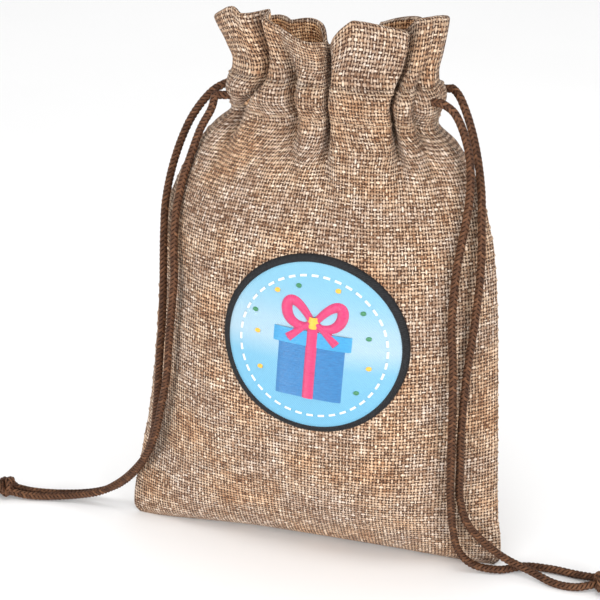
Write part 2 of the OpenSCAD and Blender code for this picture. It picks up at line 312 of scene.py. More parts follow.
def floor_material():
    shader = Shader("pale_floor", roughness=0.7)
    tone = shader.noise(shader.place(), scale=0.004, detail=3)
    shader.colour(shader.ramp(tone, [(0.3, (0.87, 0.87, 0.87)), (0.7, (0.90, 0.90, 0.90))]))
    shader.bump(shader.noise(shader.place(), scale=0.8, detail=2), 0.01, strength=0.2)
    return shader.material


def thread_round(shader, offset, width):
    """Round profile of a thread from 0 at its edge to 1 on its crown; offset runs from -0.5 to 0.5."""
    across = shader.math("DIVIDE", offset * 2.0, width)
    return shader.math("SQRT", shader.math("SUBTRACT", 1.0, across * across, clamp=True))


def thread_set(shader, across, along, upright, pitch, shift, seeds):
    """One set of the weave's threads: place across it, thread number, crown, tone and fibre."""

    def noise(a, b, seed, **settings):
        pair = (a, b) if upright else (b, a)
        return shader.noise(shader.vector(*pair, seed), **settings)

    drift = noise(across * 0.3, along * 0.05, seeds[0], detail=1)
    place = across * (1 / pitch) + drift * THREAD_DRIFT
    number = shader.math("FLOOR", place)
    own = number * 1.37 + shift
    width = shader.spread(noise(own, along * 0.3, 0.0), 0.28, 0.72, *THREAD_WIDTHS)
    crown = thread_round(shader, place - number - 0.5, width)
    tone = noise(own, along * 0.22, seeds[1], detail=3, roughness=0.65)
    fibre = noise(across * 7.0, along * 1.3, seeds[2])
    return place, number, crown, tone, fibre


def thread_height(shader, crown, number, crossing, side):
    """Height of a thread that goes over one crossing thread and under the next."""
    wave = shader.math("COSINE", (crossing - 0.5 - number) * math.pi)
    return crown * (wave * (side * 0.42) + 0.58)


def weave(shader, u, v):
    """Height, tone and fibre of whichever thread lies on top."""
    column, column_number, warp_crown, warp_tone, warp_fibre = thread_set(
        shader, u, v, True, WARP_PITCH, 0.0, (3.0, 20.0, 5.0))
    row, row_number, weft_crown, weft_tone, weft_fibre = thread_set(
        shader, v, u, False, WEFT_PITCH, 57.3, (7.0, 40.0, 9.0))
    warp_height = thread_height(shader, warp_crown, column_number, row, 1)
    weft_height = thread_height(shader, weft_crown, row_number, column, -1)
    height = shader.math("MAXIMUM", warp_height, weft_height)
    weft_on_top = shader.math("GREATER_THAN", weft_height, warp_height)
    tone = shader.choose(weft_on_top, warp_tone, weft_tone)
    return height, tone, shader.choose(weft_on_top, warp_fibre, weft_fibre)


def burlap_material(name, tone=(1.0, 1.0, 1.0)):
    """Plain weave of slubby jute threads, lighter and browner from thread to thread, with painted shade
    between the threads and towards the neck.
    """
    shader = Shader(name, roughness=0.88, specular=0.25, sheen=0.05, sheen_roughness=0.6)
    u, v = shader.fabric_uv()
    height, value, fibre = weave(shader, u, v)

    def toned(colour):
        return tuple(t * c for t, c in zip(tone, colour))

    def patches(scale, seed):
        return shader.noise(shader.vector(u * scale, v * scale, seed))

    value = value + (fibre - 0.5) * 0.34 + (patches(0.11, 2.0) - 0.5) * 0.2
    colour = shader.ramp(value, [(place, toned(shade)) for place, shade in JUTE_SHADES])
    colour = shader.mix(1.0, colour, shader.ramp(patches(0.06, 31.0), JUTE_TINTS), blend="MULTIPLY")
    # painted shade and highlight: each thread darker towards its edges and lighter on its crown, and the
    # whole cloth darker towards the neck and frill
    light = shader.spread(height, 0.3, 1.0, 0.76, 1.08) * shader.spread(v, 50, 165, 1.0, 0.87)
    lit = shader.mix(1.0, colour, shader.vector(light, light, light), blend="MULTIPLY")
    # the gaps between the threads take the painted shade colour
    shader.colour(shader.mix(shader.spread(height, 0.21, 0.55), toned(PAINTED_GAP_SHADE), lit))
    shader.bump(height + fibre * 0.16, 0.30, strength=0.9)
    return shader.material


def cord_material():
    """Brown braid: each strand has fine fibres along it, its own tone and painted shade along its edges."""
    shader = Shader("braided_cord", roughness=0.62, specular=0.22)
    u, v = shader.fabric_uv()
    number = shader.math("FLOOR", u) * 3.7
    strand = shader.noise(shader.vector(number, v * 0.05, 1.0), detail=1)
    fibre = shader.noise(shader.vector(u * 26.0, v * 0.8, 4.0), detail=2)
    across = shader.math("FRACT", u)
    edge = across * (1.0 - across) * 4.0
    value = fibre * 0.55 + strand * 0.45
    colour = shader.ramp(value, [
        (0.30, (0.015, 0.005, 0.002)), (0.50, (0.070, 0.027, 0.011)), (0.70, (0.205, 0.094, 0.044))])
    # painted shade: each strand darkens to near black along its edges, where it meets its neighbours
    shader.colour(shader.mix(shader.spread(edge, 0.10, 0.85), (0.010, 0.004, 0.002), colour))
    shader.bump(fibre, 0.05, strength=0.8)
    return shader.material


def thread_material(name, light, dark, pitch=0.42, roughness=0.6, sheen=0.1):
    """Twisted sewing thread: slanting plies along the fabric's v coordinate, with painted shade in the
    grooves between them.
    """
    shader = Shader(name, roughness, specular=0.25, sheen=sheen)
    u, v = shader.fabric_uv()
    ply = shader.math("SINE", (u * 0.8 + v * (1 / pitch)) * TAU)
    tone = shader.noise(shader.place(), scale=1.7, detail=2)
    # painted shade and highlight: the plies are lighter on their crowns and darker in the grooves between
    # them
    value = ply * 0.16 + tone
    shader.colour(shader.ramp(value, [(0.30, dark), (0.70, light)]))
    shader.bump(ply, 0.04, strength=0.8)
    return shader.material


def twill_material():
    """Fine printed twill: slanting ribs under a light blue print that is paler across the middle."""
    shader = Shader("patch_print", roughness=0.72)
    u, v = shader.fabric_uv()
    rib = shader.math("SINE", (u * 1.25 + v * 1.25) * TAU)
    grain = shader.math("SINE", (u - v) * (TAU * 2.3))
    fade = shader.spread(v, -22.0, 22.0)
    print_colour = shader.ramp(fade, [
        (0.0, (0.125, 0.360, 0.530)), (0.30, (0.150, 0.375, 0.530)), (0.55, (0.330, 0.460, 0.545)),
        (0.75, (0.300, 0.445, 0.540)), (1.0, (0.165, 0.385, 0.520))])
    cloud = shader.noise(shader.place(), scale=0.9, detail=3)
    shade = rib * 0.035 + cloud * 0.16
    shader.colour(shader.mix(shade + 0.1, print_colour, (0.10, 0.20, 0.26)))
    shader.bump(rib + grain * 0.35, 0.05, strength=0.7)
    return shader.material


def satin_material(name, light, dark):
    """Shiny embroidery thread laid side by side across the band, with painted shade in the grooves between
    the stitches.
    """
    shader = Shader(name, roughness=0.38, sheen=0.2)
    u, v = shader.fabric_uv()
    wander = shader.noise(shader.vector(u * 0.5, v * 2.0, 0.0), detail=1)
    row = v * 2.6 + wander * 0.6
    ridge = shader.math("ABSOLUTE", shader.math("SINE", row * math.pi))
    own = shader.vector(shader.math("FLOOR", row), u * 0.3, 3.0)
    tone = shader.noise(own, scale=1.9, detail=1)
    # painted shade and highlight: each stitch lighter on its crown and darker in the grooves between stitches
    value = ridge * 0.45 + tone * 0.55
    shader.colour(shader.ramp(value, [(0.25, dark), (0.75, light)]))
    shader.bump(ridge, 0.10, strength=0.8)
    return shader.material


# ---- cords ----

STRAND_COUNT = 4        # strands that turn each way
STRAND_LAY = 5.6        # length of one turn of a strand
STRAND_RADIUS = 0.90    # from the cord's centre line to a strand's
STRAND_CROSSING = 0.16  # how far a strand rises over one and dips under the next
STRAND_W = 1.02         # a strand's width and thickness
STRAND_T = 0.56
STRAND_SIDES = 6
CORE_RADIUS = 0.68
BRAID_STEP = 0.42       # between the rings of a strand

SIDES = {"left": -1, "right": 1}
PIVOT_X = {"left": -26.711, "right": 39.711}   # where the tails start to swing
CORD_Z = {"left": 151.4, "right": 155.6}
KNOT_AT = {"left": (-107.5, -9.2, 3.2), "right": (97.5, -1.8, 3.2)}
KNOT_SIZE = 2.8
KNOT_END = ((0, 0), (4, 0.9), (8, 1.6), (11.2, 1.7))   # reach and drop of the short ends past the knot
CHANNEL_Y = 7.0           # the cords' distance from the middle as they leave the casing
RUN_Y = 4.6               # and inside it
CASING_MIDDLE_X = 6.5
CASING_STRAIGHT = 47.0
FLOOR_Z = 1.4             # a cord's centre line when it lies on the floor

ROUTES = {
    "left_cord_back_tail": [
        (-27.711, CHANNEL_Y, CORD_Z["left"]), (-33.5, 6, 148), (-39, 4.5, 141), (-42.5, 2, 133),
        (-44.5, -2, 124), (-45.2, -6, 115), (-45, -8.5, 107), (-44.5, -11, 98), (-44.2, -12.8, 88),
        (-44.5, -13.8, 78), (-45.5, -14.3, 67), (-46.5, -14.2, 56), (-48, -13.2, 46), (-50, -11.5, 36),
        (-54, -8.8, 25.5), (-60.5, -5.6, 15.5), (-68, -3.6, 8), (-77, -2.5, 3.2), (-88, -3.9, FLOOR_Z),
        (-98, -5.8, FLOOR_Z), (-105.2, -7, 2.6)],
    "left_cord_front_tail": [
        (-27.711, -CHANNEL_Y, CORD_Z["left"]), (-29.3, -6.5, 146.6), (-33, -6, 140), (-36, -6.5, 132),
        (-38.7, -8, 123), (-39.8, -11, 114), (-39.8, -13.5, 104), (-39.3, -15.5, 94), (-40, -17, 83),
        (-41, -17.5, 72), (-42, -17.8, 61), (-44.5, -17, 50), (-47, -16, 40), (-51, -14.5, 30),
        (-57, -11.5, 21), (-64.5, -8.2, 12.6), (-72.5, -6.8, 6.6), (-82, -6.3, 3), (-91, -7.6, 1.6),
        (-98.5, -9.4, 1.6), (-105.2, -10.4, 2.6)],
    "right_cord_front_tail": [
        (40.711, -CHANNEL_Y, CORD_Z["right"]), (44.5, -7, 153), (47.5, -7, 147), (49.5, -7, 139),
        (50, -7.5, 130), (49.5, -9, 121), (48.5, -12, 111), (48, -14, 101), (48, -15.5, 90),
        (49, -16, 78), (49.5, -16.5, 66), (49.5, -16, 54), (49.5, -15.2, 43), (49.5, -13.8, 31),
        (50, -11, 19), (51.5, -8, 9), (56, -5.5, 3), (64, -3.5, FLOOR_Z), (71.5, 1, FLOOR_Z),
        (80, 2, FLOOR_Z), (88, 1.5, FLOOR_Z), (95.2, -0.2, 2.6)],
    "right_cord_back_tail": [
        (40.711, CHANNEL_Y, CORD_Z["right"]), (43.5, 5.5, 153), (47, 3.5, 146), (50, 0.5, 138),
        (52.4, -3.2, 129), (53.6, -6.2, 120), (54.4, -8.2, 110), (54.4, -9.7, 100), (53.8, -11, 89),
        (52.8, -12.5, 77), (52.2, -13.5, 65), (51.8, -13.4, 53), (51.8, -12.5, 42), (51.8, -11.2, 31),
        (54, -9.6, 21), (59, -6.2, 12.5), (65.5, -2.6, 5.5), (74, -3.5, 3), (82, -5.5, FLOOR_Z),
        (89, -5.5, FLOOR_Z), (95.2, -3.4, 2.6)],
}


def smooth_route(points, step):
    """Points a fixed step apart on the Catmull-Rom curve through the given ones."""
    p = np.array(points, dtype=float)
    p = np.vstack([2 * p[0] - p[1], p, 2 * p[-1] - p[-2]])
    t = np.linspace(0, 1, 40, endpoint=False)[:, None]
    dense = []
    for i in range(len(p) - 3):
        a, b, c, d = p[i:i + 4]
        dense.append(0.5 * (2 * b + (c - a) * t + (2 * a - 5 * b + 4 * c - d) * t ** 2
                            + (3 * b - a - 3 * c + d) * t ** 3))
    dense = np.vstack(dense + [p[-2][None]])
    along = walked(dense)
    places = np.linspace(0, along[-1], max(2, int(round(along[-1] / step)) + 1))
    return np.stack([np.interp(places, along, dense[:, k]) for k in range(3)], axis=1)


def cross_axes(path):
    """Two cross axes at each point of a path, turned as little as possible."""
    forward = unit(np.gradient(path, axis=0))
    side = np.zeros_like(path)
    first = np.cross(forward[0], (0, 0, 1.0) if abs(forward[0][2]) < 0.9 else (1.0, 0, 0))
    side[0] = first / np.linalg.norm(first)
    for i in range(1, len(path)):
        s = side[i - 1] - forward[i] * np.dot(side[i - 1], forward[i])
        side[i] = s / np.linalg.norm(s)
    return side, np.cross(forward, side)


def tube(path, wide, thick, flat_axis, sides, number):
    """Points, faces and uv of a tube with an oval section; flat_axis is the direction of its thickness."""
    forward = unit(np.gradient(path, axis=0))
    flat_axis = np.asarray(flat_axis, float)
    out = unit(flat_axis - forward * np.sum(flat_axis * forward, axis=1, keepdims=True))
    across = np.cross(forward, out)
    turn = np.arange(sides) * TAU / sides
    ring = (across[:, None] * (wide / 2 * np.cos(turn))[None, :, None]
            + out[:, None] * (thick / 2 * np.sin(turn))[None, :, None])
    points = (path[:, None] + ring).reshape(-1, 3)
    faces, where = grid_faces(len(path), sides, wrap=True)
    along = walked(path)
    turn_share = np.abs((np.arange(sides + 1) / sides * 2) % 2 - 1) * 0.998
    uv = np.stack([number + turn_share[where[..., 1]], along[where[..., 0]]], axis=-1)
    caps = [tuple(range(sides - 1, -1, -1)), tuple(range((len(path) - 1) * sides, len(path) * sides))]
    cap_uv = [[(number + 0.5, 0.0)] * sides, [(number + 0.5, along[-1])] * sides]
    return points, [tuple(f) for f in faces] + caps, [tuple(c) for c in uv.reshape(-1, 2)] + sum(cap_uv, [])


def braid(path):
    """Round braid of flat strands: half of them turn each way, over one and under the next."""
    side, other = cross_axes(path)
    turn = TAU * walked(path) / STRAND_LAY
    parts = [tube(path, 2 * CORE_RADIUS, 2 * CORE_RADIUS, side, 8, 40)]
    for way in (1, -1):
        for k in range(STRAND_COUNT):
            float_phase = way * 2 * turn + math.pi * k - math.pi / 4
            radius = STRAND_RADIUS + way * STRAND_CROSSING * np.cos(float_phase)
            angle = TAU * k / STRAND_COUNT + way * turn
            out = side * np.cos(angle)[:, None] + other * np.sin(angle)[:, None]
            parts.append(tube(path + out * radius[:, None], STRAND_W, STRAND_T, out, STRAND_SIDES,
                              k + (STRAND_COUNT if way < 0 else 0)))
    return joined(parts)


def overhand_path(centre, way):
    """Open overhand knot drawn tight: it comes in along X and leaves the same way."""
    t = np.linspace(-0.86 * math.pi, 0.86 * math.pi, 90)
    x = 1.25 * t / math.pi + 0.95 * np.sin(2 * t) * 0.55
    y = np.cos(t) * 0.95 - 0.35
    z = 0.62 * np.sin(2.9 * t)
    return np.array(centre) + np.stack([way * x, way * y, z], axis=1) * KNOT_SIZE


def knot_parts(centre, way):
    """Both cords of a side in one overhand knot, and the two short ends past it."""
    parts = []
    for shift, rise in ((-0.9, 0.3), (0.9, -0.3)):
        middle = (centre[0], centre[1] + shift, centre[2] + 0.5 + rise)
        parts.append(braid(smooth_route(overhand_path(middle, way)[::6], 0.35)))
    for turn in (-32, 32):
        a = math.radians(turn)
        out = np.array([way * math.cos(a), math.sin(a), 0.0])
        start = np.array(centre) + out * 1.8
        end = [start + out * reach + (0, 0, -drop) for reach, drop in KNOT_END]
        parts.append(braid(smooth_route(end, BRAID_STEP)))
    return parts


def add_braid(name, path, material, body, node):
    """One length of braided cord along a path."""
    return add_piece(name, [braid(smooth_route(path, BRAID_STEP))], material, [node], body)


def add_tails(material):
    """The four lengths of cord that hang from the casing. Each starts just inside it."""
    tails = {}
    for name, route in ROUTES.items():
        side = name.split("_")[0]
        start = (PIVOT_X[side] - SIDES[side] * 0.2, route[0][1], route[0][2])
        tails[name] = add_braid(name + "_braid", [start] + route, material, side + "_tail", name)
    return tails


def add_runs(material):
    """Cords inside the casing: two runs slide in and out with a pull, and a loop stays at the far end."""
    for side, way in SIDES.items():
        body, z, exit_x = side + "_cord", CORD_Z[side], PIVOT_X[side]
        far_x = CASING_MIDDLE_X - way * CASING_STRAIGHT / 2
        run = [(far_x, RUN_Y), (exit_x - way * 9, RUN_Y), (exit_x - way * 5, RUN_Y + 0.8),
               (exit_x - way * 2, CHANNEL_Y - 0.4), (exit_x, CHANNEL_Y)]
        for face, out in (("front", -1), ("back", 1)):
            node = f"{body}_{face}_run"
            add_braid(node + "_braid", [(x, out * y, z) for x, y in run], material, body, node)
        turn = np.radians(np.linspace(-90, 90, 13))
        loop = [(far_x - way * RUN_Y * math.cos(a), RUN_Y * math.sin(a), z) for a in turn]
        add_braid(body + "_loop_braid", loop, material, "pouch", body + "_loop")


def add_knots(material):
    """The knot of each side's two cords, with their short ends past it."""
    for side, way in SIDES.items():
        name = side + "_knot"
        knot = add_piece(name + "_braid", knot_parts(KNOT_AT[side], way), material, [name],
                         side + "_tail")


# ---- cloth ----

# Height, half width, half depth, sideways lean, and the two powers of the section's crown.
SECTIONS = np.array([
    (0, 61.2, 1.8, 0.3, 2.4, 0.8),
    (1, 62.4, 3.6, 0.3, 2.4, 0.8),
    (3, 63.2, 6.2, 0.3, 2.4, 0.8),
    (7.4, 63, 9.6, 0.4, 2.4, 0.8),
    (19.2, 61.1, 15.6, 1, 2.4, 0.8),
    (41.4, 58.3, 21.6, 2.7, 2.4, 0.8),
    (66.6, 56.1, 24.8, 3.7, 2.4, 0.8),
    (88.8, 54.5, 24, 4.1, 2.4, 0.8),
    (108, 52.4, 21.4, 4.3, 2.4, 0.78),
    (121.4, 48.6, 18.2, 5.1, 2.5, 0.74),
    (133.2, 43, 15.2, 6.2, 2.6, 0.68),
    (141, 37.2, 12.8, 6.8, 2.8, 0.6),
    (147, 31, 10.8, 6.6, 3.2, 0.52),
    (149.5, 31.3, 11.4, 6.7, 3.6, 0.48),
    (153.5, 32.1, 12.6, 6.8, 4, 0.46),
    (157, 31.7, 11.8, 6.9, 4, 0.48),
    (159, 30.6, 10.6, 6.8, 3.6, 0.5),
    (162, 30.6, 10.4, 6.8, 3.2, 0.54),
    (168, 32.2, 10.8, 6.4, 3, 0.58),
    (180, 35.2, 11.6, 5.1, 2.8, 0.66),
])

# Creases of the gathers: side (-1 front, 1 back), then rows of height, X, depth, width and how far
# the bottom of the crease is tucked sideways.
CREASES = [
    (-1, [(178, -13.6, 5.2, 1.4, 1.2), (166, -11.8, 5.6, 1.2, 1.2), (159, -12.4, 5.2, 1, 1.2),
          (153, -16.8, 4, 1, 0.8), (147, -20.3, 4, 1.2, 0.5), (140, -23.5, 2.6, 2.4, 0),
          (130, -28, 1, 4.6, 0), (116, -33, 0, 7, 0)]),
    (-1, [(178, -5.6, 0.6, 3.6, 0), (167, -4.2, 3, 2.2, 0), (159, -3.3, 5, 1.5, 0.4),
          (153, -3.2, 4.4, 1.4, 0.6), (147, -2.6, 4.4, 1.6, 0.4), (139, -2.9, 3, 2.6, 0),
          (128, -3.5, 1.4, 5.4, 0), (112, -4, 0, 8, 0)]),
    (-1, [(178, 7.4, 7.2, 1.1, 0.2), (167, 7.6, 7.4, 0.8, 0.6), (159, 7.6, 7, 0.6, 0.8),
          (153, 7.6, 5.8, 0.55, 0.8), (147, 7.7, 6.2, 0.6, 0.8), (141, 7.6, 5, 1, 0.5),
          (134, 7.6, 2.6, 2.6, 0), (124, 7.5, 1, 6, 0), (110, 7.5, 0, 8, 0)]),
    (-1, [(178, 33.4, 7.4, 1.2, -3), (167, 31.4, 6.8, 0.9, -2.6), (159, 28.6, 6, 0.7, -1.4),
          (153, 27.6, 5.4, 0.65, -0.9), (147, 27.8, 5.8, 0.7, -0.6), (141, 29, 4.6, 1.2, 0),
          (134, 31, 2.2, 3, 0), (122, 34, 0.7, 6.5, 0), (108, 36, 0, 8, 0)]),
    (-1, [(178, 37.6, 0.2, 2, 0), (167, 36.2, 0.8, 2, 0), (159, 34, 2.2, 1.4, 0),
          (153, 33.8, 1.9, 1.2, 0), (147, 34.2, 3.2, 1.3, 0), (140, 37.4, 2.6, 2.2, 0),
          (130, 42, 1.3, 4, 0), (114, 47, 0, 6, 0)]),
    (1, [(178, 32.6, 3.6, 2, 0.6), (166, 31.6, 4.2, 1.5, 0.6), (159, 31, 4.4, 1.1, 0.4),
         (153, 31.4, 3.4, 1, 0.4), (147, 32, 3.8, 1.2, 0), (139, 36, 2.4, 2.6, 0),
         (128, 41, 1, 5, 0), (112, 46, 0, 7, 0)]),
    (1, [(178, 20.8, 5, 2.2, -1), (166, 20.2, 5, 1.5, -1), (159, 19.6, 4.8, 1.1, -0.6),
         (153, 19.4, 3.6, 0.9, -0.6), (147, 20.2, 4.2, 1.1, -0.4), (138, 22.4, 2.6, 2.6, 0),
         (126, 25, 1, 6, 0), (110, 28, 0, 8, 0)]),
    (1, [(178, 4.6, 9.4, 3.2, 0.4), (166, 6.2, 7.4, 2, 0.6), (159, 7.8, 4.8, 1.1, 0.6),
         (153, 8, 3.6, 0.9, 0.6), (147, 7.6, 4.2, 1, 0.4), (139, 7, 3, 2.2, 0),
         (128, 6, 1.4, 5.5, 0), (108, 5, 0, 8, 0)]),
    (1, [(178, -8.4, 4.2, 2.4, -0.8), (166, -7.4, 4.8, 1.7, -0.8), (159, -6.6, 4.6, 1.1, -0.6),
         (153, -6.2, 3.6, 1, -0.5), (147, -6.4, 4, 1.1, -0.4), (139, -8.2, 2.4, 2.8, 0),
         (127, -10.5, 0.9, 6, 0), (112, -12, 0, 8, 0)]),
    (1, [(178, -19.6, 3.6, 2, 0.6), (166, -18.6, 4.2, 1.5, 0.6), (159, -17.6, 4.2, 1.1, 0.4),
         (153, -17.2, 3.2, 1, 0.4), (147, -18.2, 3.6, 1.2, 0.2), (139, -22.6, 2.4, 2.6, 0),
         (128, -28, 1, 5, 0), (114, -33, 0, 7, 0)]),
]
FABRIC_HALF = 130.0        # width of the flat pouch from seam to seam
CLOTH_THICKNESS = 0.9
COLUMNS = 340
REFERENCE_Z = 170.0        # height at which the gathers take up the fabric evenly
NATURAL_Z = 100.0          # below this height the threads run straight
GATHERED_Z = 134.0
CASING_TOP = 159.0
EXIT_AT = (37.5, 154.5)    # X and Z at which the right-hand cords push the casing out
ARC_SAMPLES = 700          # points of a half section while its folds are laid out


def smoothstep(x, low, high):
    t = np.clip((x - low) / (high - low), 0, 1)
    return t * t * (3 - 2 * t)


def soft_table(x, xs, ys):
    """Smooth value between the rows of a table, without overshoot (monotone cubic)."""
    xs, ys = np.asarray(xs, float), np.asarray(ys, float)
    if xs[0] > xs[-1]:
        xs, ys = xs[::-1], ys[::-1]
    step = np.diff(xs)
    rise = np.diff(ys) / step
    slope = np.zeros(len(xs))
    both = rise[:-1] * rise[1:] > 0
    slope[1:-1][both] = 2 * rise[:-1][both] * rise[1:][both] / (rise[:-1] + rise[1:])[both]
    x = np.clip(x, xs[0], xs[-1])
    i = np.clip(np.searchsorted(xs, x) - 1, 0, len(step) - 1)
    t = (x - xs[i]) / step[i]
    return ((2 * t ** 3 - 3 * t ** 2 + 1) * ys[i] + (t ** 3 - 2 * t ** 2 + t) * slope[i] * step[i]
            + (3 * t ** 2 - 2 * t ** 3) * ys[i + 1] + (t ** 3 - t ** 2) * slope[i + 1] * step[i])


def section_value(z, k):
    return float(soft_table(z, SECTIONS[:, 0], SECTIONS[:, k]))


def ripple(x, z, seed):
    """Small soft unevenness from -1 to 1, the same each run."""
    a = np.sin(0.071 * x + 0.047 * z + 1.7 * seed) * np.cos(0.053 * z - 0.031 * x + 2.3 * seed)
    b = np.sin(0.19 * x - 0.083 * z + 0.9 * seed) * np.cos(0.117 * z + 0.061 * x + 4.1 * seed)
    return 0.65 * a + 0.35 * b


def arc_lengths(xs, ys):
    return np.concatenate([[0], np.cumsum(np.hypot(np.diff(xs), np.diff(ys)))])


def base_section(z, inset):
    """Closed section from the left seam over the front: X, Y, its lean and its half width."""
    w, d, lean, p, q = (section_value(z, k) for k in range(1, 6))
    u = -np.cos(np.linspace(0, math.pi, ARC_SAMPLES))
    x = lean + (w - inset) * u
    y = (d - inset) * np.maximum(0, 1 - np.abs(u) ** p) ** q
    return np.concatenate([x, x[::-1][1:]]), np.concatenate([-y, y[::-1][1:]]), lean, w - inset


def crease_rows(z):
    """For each crease at this height: side, X, depth, width and tuck."""
    rows = []
    for side, table in CREASES:
        t = np.array(table)
        rows.append((side, *(float(soft_table(z, t[:, 0], t[:, k])) for k in range(1, 5))))
    return rows


def crease_places(rows, arc, lean, half_width):
    """Arc length at which each crease lies on the section."""
    places = []
    for side, x, *_ in rows:
        turn = math.acos(-np.clip((x - lean) / half_width, -0.985, 0.985))
        index = turn / math.pi * (ARC_SAMPLES - 1)
        if side > 0:
            index = 2 * (ARC_SAMPLES - 1) - index
        places.append(float(np.interp(index, np.arange(len(arc)), arc)))
    return np.array(places)


def puffs(z, arc, marks):
    """How far the gathered cloth swells outwards between neighbouring creases and seams."""
    out = np.zeros(len(arc))
    gather = smoothstep(z, 118, 146)
    for a, b in zip(marks[:-1], marks[1:]):
        inside = (arc >= a) & (arc <= b)
        share = (arc[inside] - a) / max(b - a, 1e-6)
        out[inside] += min(1.0, (b - a) / 14.0) * 1.1 * gather * np.sin(math.pi * share) ** 0.8
    return out


def folded_section(z, inset=0.0, widen=0.0):
    """Section with its creases pushed in, the arc length along it, and where each crease lies on it."""
    xs, ys, lean, half_width = base_section(z, inset)
    arc = arc_lengths(xs, ys)
    front_end = arc[ARC_SAMPLES - 1]
    rows = crease_rows(z)
    places = crease_places(rows, arc, lean, half_width)
    inward = -puffs(z, arc, np.sort([0.0, front_end, arc[-1], *places]))
    sideways = np.zeros(len(arc))
    for place, (side, _, depth, width, tuck) in zip(places, rows):
        dip = np.exp(-(np.abs(arc - place) / (width + widen)) ** 1.6)
        inward += depth * dip
        sideways -= side * tuck * dip
    rising = arc + 1e-9 * np.arange(len(arc))
    tx, ty = np.gradient(xs, rising), np.gradient(ys, rising)
    length = np.maximum(np.hypot(tx, ty), 1e-9)
    tx, ty = tx / length, ty / length
    return xs - ty * inward + tx * sideways, ys + tx * inward + ty * sideways, arc, front_end, places


def fabric_marks():
    """Fabric coordinate from 0 to 1 of each crease, from the lengths at the reference height."""
    xs, ys, arc, front_end, places = folded_section(REFERENCE_Z)
    drawn = arc_lengths(xs, ys)
    at = np.interp(places, arc, drawn)
    half = np.interp(front_end, arc, drawn)
    return np.where(places < front_end, 0.5 * at / half, 0.5 + 0.5 * (at - half) / (drawn[-1] - half))


MARKS = fabric_marks()


def cloth_row(z, inset=0.0, widen=0.0):
    """X, Y and fabric coordinate of COLUMNS + 1 places round the pouch, at one height.

    The places follow the creases, and the fabric coordinate runs evenly along the cloth.
    """
    xs, ys, arc, front_end, places = folded_section(z, inset, widen)
    drawn = arc_lengths(xs, ys)
    half = np.interp(front_end, arc, drawn)
    at = np.interp(places, arc, drawn)
    natural = np.where(MARKS < 0.5, 2 * MARKS * half, half + (2 * MARKS - 1) * (drawn[-1] - half))
    gathered = smoothstep(z, NATURAL_Z, GATHERED_Z)
    at = natural + (at - natural) * gathered
    anchors = sorted([(0.0, 0.0), (0.5, half), (1.0, drawn[-1])] + list(zip(MARKS, at)))
    fabric = np.linspace(0, 1, COLUMNS + 1)
    along = np.interp(fabric, [a[0] for a in anchors], [a[1] for a in anchors])
    thread = np.where(along < half, 0.5 * along / half, 0.5 + 0.5 * (along - half) / (drawn[-1] - half))
    return np.interp(along, drawn, xs), np.interp(along, drawn, ys), thread * 2 * FABRIC_HALF


def body_heights():
    """Heights of the body's rows, closer together at the bottom fold and in the gathers."""
    return np.concatenate([[0, 0.5, 1.3, 2.4, 4, 6], np.arange(8, 112, 2.0), np.arange(112, 158.5, 1.175),
                           [CASING_TOP]])


def body_relief(xs, z, fabric):
    """How far the cloth stands back from its plain section; it is smooth under the patch."""
    front = fabric < 0.5
    from_patch = np.hypot(xs - PATCH_AT[0], z - PATCH_AT[1])
    away = np.where(front, smoothstep(from_patch, PATCH_D / 2, PATCH_D / 2 + 12), 1.0)
    from_seam = np.minimum.reduce([fabric, np.abs(fabric - 0.5), 1 - fabric]) * 2 * FABRIC_HALF
    calm = smoothstep(from_seam, 0, 16) * smoothstep(z, 2, 22)
    swell = 0.9 * ripple(xs, z, np.where(front, 1.0, 5.0)) * calm * away * (1 - 0.5 * smoothstep(z, 120, 150))
    crumple = 0.22 * np.sin(0.9 * xs + 0.55 * z) * np.sin(0.47 * z - 0.31 * xs) * smoothstep(z, 110, 140)
    pucker = 0.45 * np.exp(-(from_seam / 7) ** 2) * np.sin(TAU * z / 11 + 0.8) * smoothstep(z, 6, 20)
    cord_exit = 2.2 * np.exp(-((xs - EXIT_AT[0]) / 3.2) ** 2 - ((z - EXIT_AT[1]) / 3.8) ** 2)
    return np.where(front, -1.0, 1.0) * (swell + crumple * calm + cord_exit) + 0.5 * pucker


def settled(xs, ys, z):
    """The row as it stands: the bottom fold is bowed, its left corner comes forward, its middle is lifted."""
    low = 1 - smoothstep(z, 0, 32)
    ys = ys + low * (1.2 * smoothstep(xs, -35, 25) - 4.4 * smoothstep(-xs, 12, 62))
    xs = xs + low * 1.6 * smoothstep(-xs, 36, 62)
    lift = (1 - smoothstep(z, 0, 30)) * np.clip(1 - (xs / 54.0) ** 2, 0, 1)
    return np.stack([xs, ys, z + lift], axis=1)


def body_points():
    """Rows of points of the body and its casing from the bottom fold up, and their fabric coordinates."""
    fabric = np.linspace(0, 1, COLUMNS + 1)
    rows, threads = [], []
    for z in body_heights():
        xs, ys, thread = cloth_row(z)
        rows.append(settled(xs, ys + body_relief(xs, z, fabric), z))
        threads.append(thread)
    return np.array(rows), np.array(threads)


def fabric_heights(rows, start=0.0):
    """Fabric coordinate up the cloth of each row: the mean distance walked over the rows below."""
    steps = np.linalg.norm(np.diff(rows, axis=0), axis=2)
    return start + np.concatenate([[0], np.cumsum(np.median(steps, axis=1))])


def cloth_mesh(name, rows, threads, up, material, first=0, last=COLUMNS, wrap=True):
    """Mesh of the columns first to last of some rows, with fabric coordinates in millimetres."""
    part = rows[:, first:last + 1]
    if wrap:
        part = part[:, :-1]
    index, where = grid_faces(len(rows), part.shape[1], wrap)
    u = threads[where[..., 0], first + where[..., 1]]
    v = up[where[..., 0]]
    return mesh_object(name, part.reshape(-1, 3), index, material, np.stack([u, v], axis=-1))


